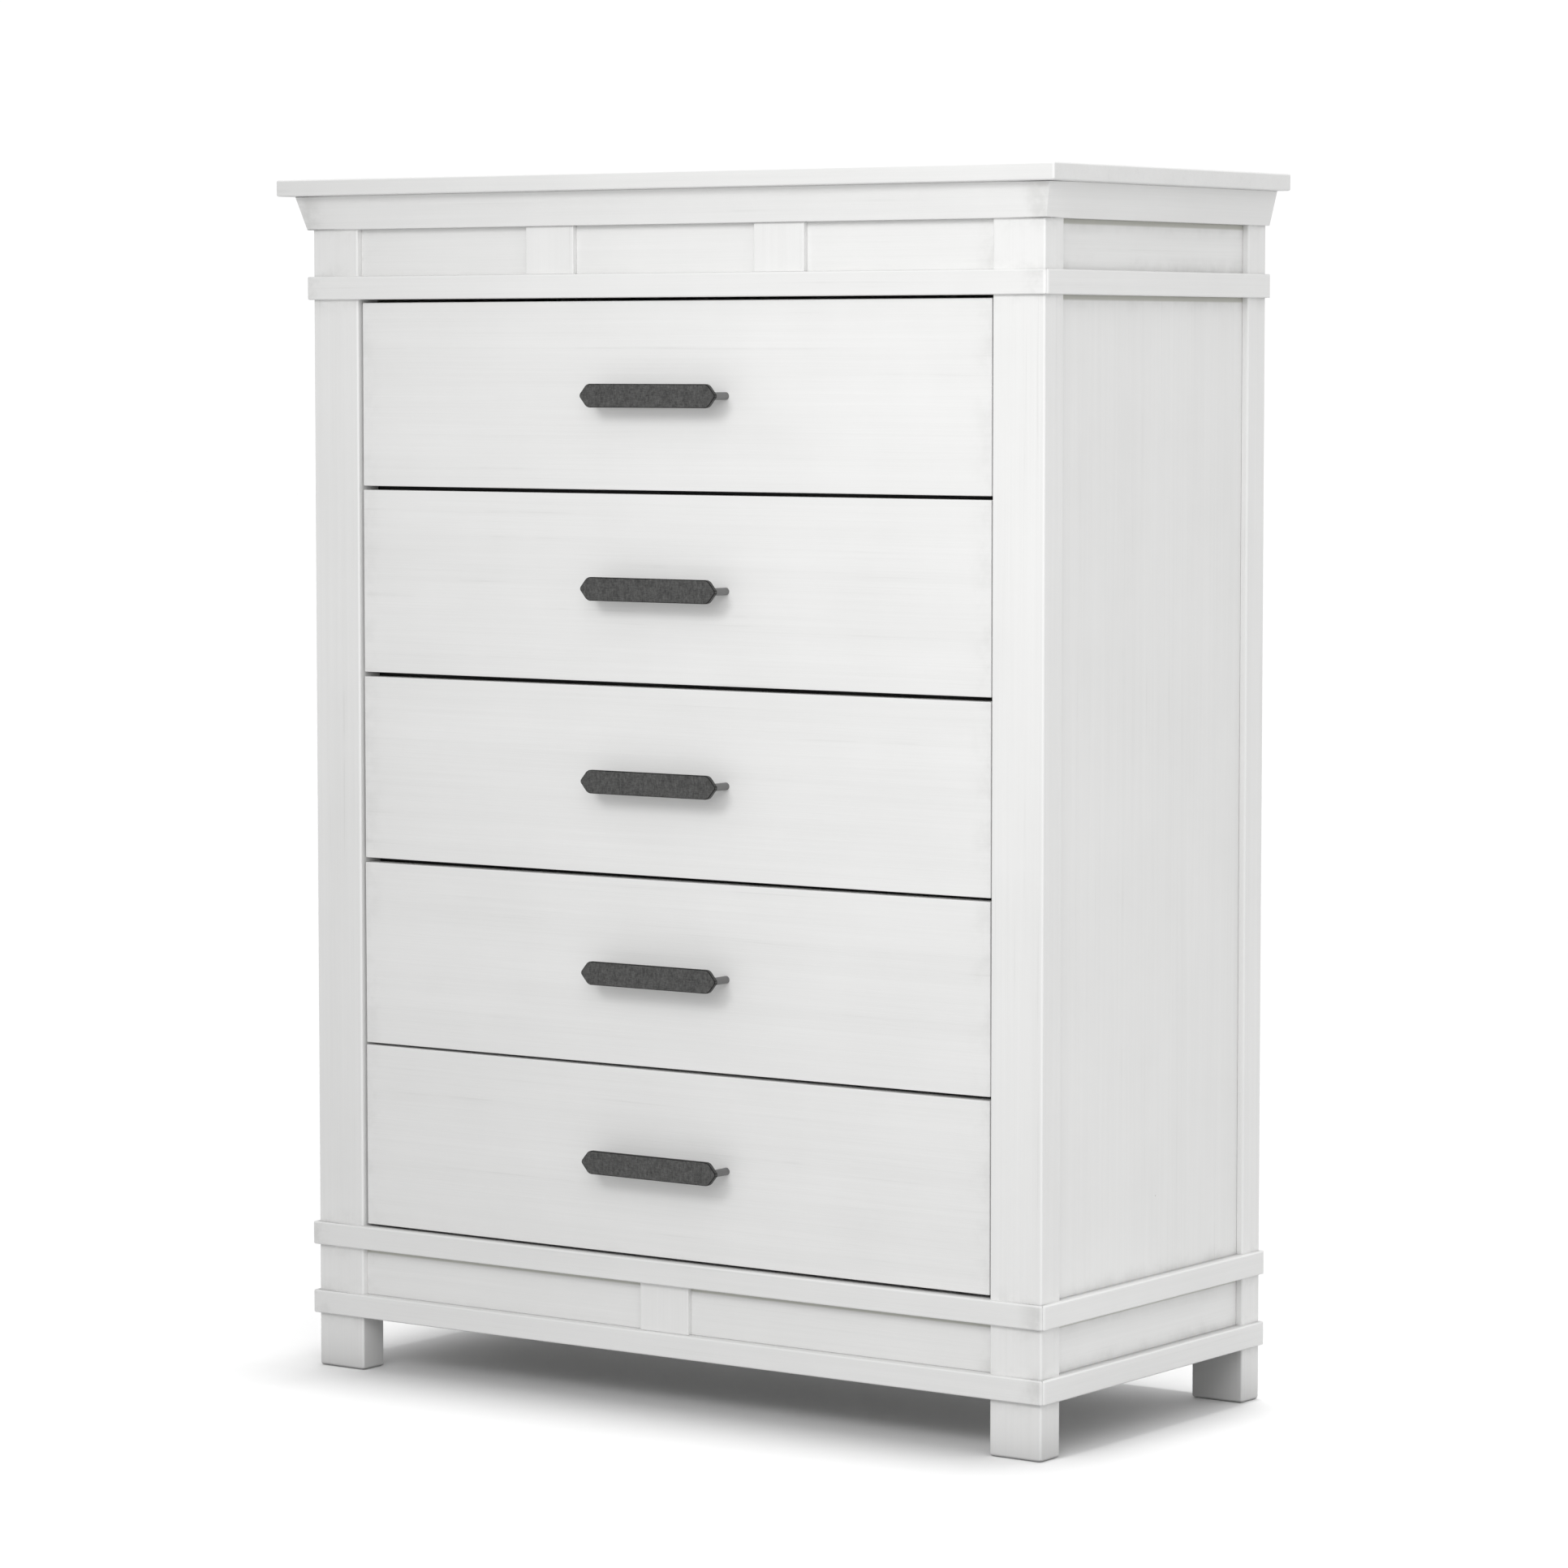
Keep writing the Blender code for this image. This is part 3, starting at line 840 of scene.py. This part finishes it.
def front_kit(finishes):
    """The top drawer's front and pull: each piece's name, shape, finish, slot and the node it stands for."""
    front_low, front_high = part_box("drawer_1_front")
    pull_low, pull_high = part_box("drawer_1_pull")
    trim = Vector((0, 0, FRONT_TRIM))
    front = block("front_board", front_low + trim, front_high - trim + Vector((FRONT_SPARE, 0, 0)))
    ease(front, FRONT_ARRIS, 4)
    centre_z = (pull_low.z + pull_high.z) / 2
    left = Vector((-STEM_SPACING / 2, pull_low.y + BAR_THICKNESS, centre_z))
    across = (STEM_SPACING, 0, 0)
    stem = make_stem("pull_stem_left", left)
    screw = make_screw("pull_screw_left", Vector((left.x, front_high.y, centre_z)))
    bar = make_bar("pull_bar")
    right_stem = copy_of(stem, "pull_stem_right", across)
    right_screw = copy_of(screw, "pull_screw_right", across)
    return [
        ("front_board", front, finishes["front"], "white_paint", "front"),
        ("pull_bar", bar, finishes["pewter"], "dark_pewter", "pull"),
        ("pull_stem_left", stem, finishes["stem"], "dark_pewter", None),
        ("pull_stem_right", right_stem, finishes["stem"], "dark_pewter", None),
        ("pull_screw_left", screw, finishes["zinc"], "dark_pewter", None),
        ("pull_screw_right", right_screw, finishes["zinc"], "dark_pewter", None),
    ]


# ---------------------------------------------------------------- drawer slides


def channel(name, web_x, height, lip, hem, start, end):
    """A rolled steel channel along Y: a web, two lips turned to one side along X, and a hem on each."""
    deselect()
    centre = (start + end) / 2
    place = (web_x, centre.y, centre.z)
    bpy.ops.mesh.primitive_plane_add(size=1.0, location=place, rotation=(0, math.pi / 2, 0))
    piece = bpy.context.active_object
    piece.name = name
    piece.scale = (height, end.y - start.y, 1)
    bpy.ops.object.transform_apply(location=True, rotation=True, scale=True)
    with shaping(piece):
        for sign in (-1, 1):
            edge_z = centre.z + sign * height / 2
            pick("EDGE", lambda e: all(near(v.co.z, edge_z) for v in e.verts))
            bpy.ops.mesh.extrude_region_move(TRANSFORM_OT_translate={"value": (lip, 0, 0)})
            bpy.ops.mesh.extrude_region_move(TRANSFORM_OT_translate={"value": (0, 0, -sign * hem)})
        pick("EDGE", lambda e: len(e.link_faces) == 2)
        bpy.ops.mesh.bevel(offset=FOLD_RADIUS, segments=3, profile=0.5, affect="EDGES")
    wall = piece.modifiers.new("sheet", "SOLIDIFY")
    wall.thickness = SHEET
    wall.offset = 0.0
    apply_all(piece)
    with shaping(piece):
        bpy.ops.mesh.select_all(action="SELECT")
        bpy.ops.mesh.normals_make_consistent(inside=False)
    deselect()
    piece.select_set(True)
    bpy.ops.object.shade_smooth_by_angle(angle=math.radians(40))
    return piece


def slide_kit(finishes):
    """The top drawer's slides and battens: each piece's name, shape, finish, body kind and slot."""
    side_low, side_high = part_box("drawer_1_side_right")
    start, end = side_low + Vector((0, SLIDE_SETBACK, 0)), side_high
    centre_z = (start.z + end.z) / 2
    axis = (0, (start.y + end.y) / 2, 0)
    case_web = POST_INNER - SHEET / 2 - CLEARANCE
    drawer_web = side_high.x + SHEET / 2 + TINY
    case_member = channel("case", case_web, CASE_MEMBER_HEIGHT, -CASE_MEMBER_LIP, CASE_MEMBER_HEM, start, end)
    drawer_member = channel(
        "drawer", drawer_web, DRAWER_MEMBER_HEIGHT, DRAWER_MEMBER_LIP, DRAWER_MEMBER_HEM, start, end
    )
    batten_low = (POST_INNER, FRONT_POST_BACK, centre_z - BATTEN_HEIGHT / 2)
    batten_high = (PANEL_INNER, BACK_POST_FRONT, centre_z + BATTEN_HEIGHT / 2)
    batten = block("batten", batten_low, batten_high)
    ease(batten, BATTEN_ARRIS, 2)
    batten_axis = (0, (FRONT_POST_BACK + BACK_POST_FRONT) / 2, 0)
    rows = []
    for name, piece, turn_axis, finish, on_case, slot in (
        ("slide_case_member", case_member, axis, finishes["zinc"], True, "dark_pewter"),
        ("slide_drawer_member", drawer_member, axis, finishes["zinc"], False, "dark_pewter"),
        ("batten", batten, batten_axis, finishes["pine"], True, "clear_wood"),
    ):
        rows.append((f"{name}_right", piece, finish, on_case, slot))
        rows.append((f"{name}_left", copy_of(piece, "left", half_turn=turn_axis), finish, on_case, slot))
    return rows


def make_drawers(finishes):
    """Every drawer takes a copy of the top drawer's kit, moved down to its own opening."""
    fronts = front_kit(finishes)
    slides = slide_kit(finishes)
    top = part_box("drawer_1_front")[0]
    for drawer in DRAWERS:
        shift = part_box(f"{drawer}_front")[0] - top
        for name, pattern, finish, slot, node in fronts:
            piece = copy_of(pattern, f"{drawer}_{name}", shift)
            hang(piece, drawer)
            if node == "front":
                rout(piece, *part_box(f"{drawer}_bottom"))
            stands_for = [f"{drawer}_{node}"] if node else []
            install(piece, finish, drawer, slot, *stands_for)
        for name, pattern, finish, on_case, slot in slides:
            piece = copy_of(pattern, f"{drawer}_{name}", shift)
            install(piece, finish, "case" if on_case else drawer, slot)
        dress_boards(finishes["birch"], f"{drawer}_side_left", f"{drawer}_side_right")
        dress_boards(finishes["cross_birch"], f"{drawer}_back")
        dress_boards(finishes["fibreboard"], f"{drawer}_bottom")
    for pattern in [row[1] for row in fronts + slides]:
        bpy.data.objects.remove(pattern, do_unlink=True)


def dress_boards(finish, *nodes):
    """Frame boards that are already the right shape take a finish as they are."""
    for node in nodes:
        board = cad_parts[node]
        board.data.materials.clear()
        board.data.materials.append(finish)


# ---------------------------------------------------------------- stage


def make_stage():
    """A plain floor that throws no light back up on the chest, and an unseen dark sheet under the chest."""
    deselect()
    bpy.ops.mesh.primitive_plane_add(size=FLOOR_WIDTH, location=(0, 0, 0))
    floor = bpy.context.active_object
    floor.name = "studio_floor"
    floor.data.materials.append(studio_floor("studio_floor"))
    floor.visible_diffuse = False
    low, high = cad_box
    centre = (Vector(low) + Vector(high)) / 2
    bpy.ops.mesh.primitive_plane_add(size=1.0, location=(centre.x + SHADE_BESIDE / 2, centre.y, -TINY))
    shade = bpy.context.active_object
    shade.name = "shade_below"
    shade.scale = (high[0] - low[0] + SHADE_BESIDE, high[1] - low[1], 1.0)
    bpy.ops.object.transform_apply(location=True, rotation=True, scale=True)
    dark = Finish("shade_below", roughness=1.0)
    dark.coat(Base_Color=grey(SHADE_TONE))
    shade.data.materials.append(dark.material)
    shade.visible_camera = False
    shade.visible_glossy = False
    shade.visible_shadow = False


def stand(name, kind, place, aim, **settings):
    """A light at a place, turned to what it lights."""
    lamp = bpy.data.lights.new(name, kind)
    for setting, value in settings.items():
        setattr(lamp, setting, value)
    holder = bpy.data.objects.new(name, lamp)
    bpy.context.scene.collection.objects.link(holder)
    holder.location = place
    holder.rotation_euler = (Vector(aim) - Vector(place)).to_track_quat("-Z", "Y").to_euler()
    holder.visible_camera = False


def make_light():
    """A dim room, white behind the chest and brighter to its right, with overhead light and two lamps."""
    world = bpy.data.worlds.new("white_studio")
    bpy.context.scene.world = world
    world.use_nodes = True
    sky = Recipe(world.node_tree)
    direction = sky.add("ShaderNodeTexCoord", {}, {}, "Generated")

    def side_of(towards):
        aim = Vector(towards).normalized()
        settings = {"operation": "DOT_PRODUCT"}
        facing = sky.add("ShaderNodeVectorMath", settings, {0: direction, 1: aim}, "Value")
        return facing.rise(0.0, 1.0)

    background = world.node_tree.nodes["Background"]
    background.inputs["Color"].default_value = (1.0, 1.0, 1.0, 1.0)
    level = ROOM_LEVEL + side_of((-0.7, 0.7, 0.1)) * BACKDROP_LEVEL
    level = level + side_of((1.0, 0.0, 0.3)) * RIGHT_LEVEL
    sky.feed(background.inputs["Strength"], level)
    stand(
        "overhead_light",
        "SUN",
        OVERHEAD_PLACE,
        (0.0, 0.0, 0.0),
        angle=math.radians(7.0),
        energy=OVERHEAD_POWER,
    )
    stand(
        "key_light",
        "SPOT",
        KEY_PLACE,
        KEY_AIM,
        energy=KEY_POWER,
        spot_size=math.radians(54.0),
        spot_blend=1.0,
        shadow_soft_size=KEY_SIZE,
    )
    stand("wide_light", "AREA", WIDE_PLACE, WIDE_AIM, energy=WIDE_POWER, shape="DISK", size=WIDE_SIZE)
    bpy.context.scene.view_settings.view_transform = "Standard"


def make_camera():
    camera = bpy.data.cameras.new("camera")
    camera.lens = LENS
    camera.sensor_width = 36.0
    holder = bpy.data.objects.new("camera", camera)
    bpy.context.scene.collection.objects.link(holder)
    holder.location = CAMERA_PLACE
    holder.rotation_euler = (math.radians(90 + CAMERA_PITCH), 0.0, math.radians(CAMERA_YAW))
    bpy.context.scene.camera = holder


# ---------------------------------------------------------------- assembly


def make_finishes():
    tiers = [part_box(f"{tier}_right") for tier in ("base_belt", "lower_belt", "upper_belt", "cornice")]
    tier_edges = [z for low, high in tiers for z in (low.z, high.z)]
    tier_feet = [low.z for low, high in tiers[1:]]
    drawer_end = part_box("drawer_1_front")[1].x
    upright_between = (1, tiers[1][1].z, tiers[2][0].z)
    return {
        "x": brushed_white("brushed_white_across", 0, (-CASE_HALF, CASE_HALF), joint_glaze_and_shade=1.7, tone=0.985),
        "y": brushed_white("brushed_white_deep", 1),
        # The top is painted a little darker, as painted shade, so that it does not go white under the overhead
        # light.
        "top": brushed_white("brushed_white_top", 0, tone=0.955),
        "post": brushed_white("brushed_white_upright", 2, (), tier_edges),
        # The panels and the plinth board carry painted shadow under the feet of the belts above them.
        "panel": brushed_white(
            "brushed_white_panel", 2, (), tier_edges, crossed=upright_between, shadowed_below=tier_feet
        ),
        "back": brushed_white("brushed_white_back", 2),
        "rail": brushed_white(
            "brushed_white_rail", 0, (-POST_INNER, POST_INNER), joint_glaze_and_shade=1.3, shadowed_below=tier_feet[:1]
        ),
        "block": brushed_white("brushed_white_block", 2),
        "front": brushed_white("brushed_white_front", 0, joints_x=(-drawer_end, drawer_end), joint_glaze_and_shade=0.8),
        "birch": clear_birch("clear_birch_lengthwise", 1),
        "cross_birch": clear_birch("clear_birch_crosswise", 0),
        # The dividers' front edges are painted black, as painted shade in the gaps between the drawers.
        "divider": clear_birch("divider_birch", 0, painted_shade_to=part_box("drawer_divider_1")[0].y + GAP_SHADE_DEPTH),
        "pine": clear_birch("raw_pine", 1, (0.76, 0.60, 0.40, 1.0), (0.58, 0.41, 0.24, 1.0)),
        "fibreboard": thin_board("thin_hardboard"),
        "pewter": dark_pewter("dark_pewter"),
        "stem": brushed_steel("stem_pewter", 0.26, 0.30),
        "zinc": brushed_steel("zinc_plate", 0.62, 0.24),
    }


def main():
    make_stage()
    make_light()
    make_camera()
    finishes = make_finishes()
    make_top(finishes["top"])
    make_posts(finishes["post"])
    make_mouldings(finishes)
    make_rails(finishes["rail"], finishes["block"])
    dress_boards(finishes["panel"], "side_panel_left", "side_panel_right")
    dress_boards(finishes["back"], "back_panel")
    dividers = [f"drawer_divider_{number}" for number in range(1, 5)]
    dress_boards(finishes["divider"], *dividers)
    dress_boards(finishes["x"], "case_bottom")
    make_drawers(finishes)


main()
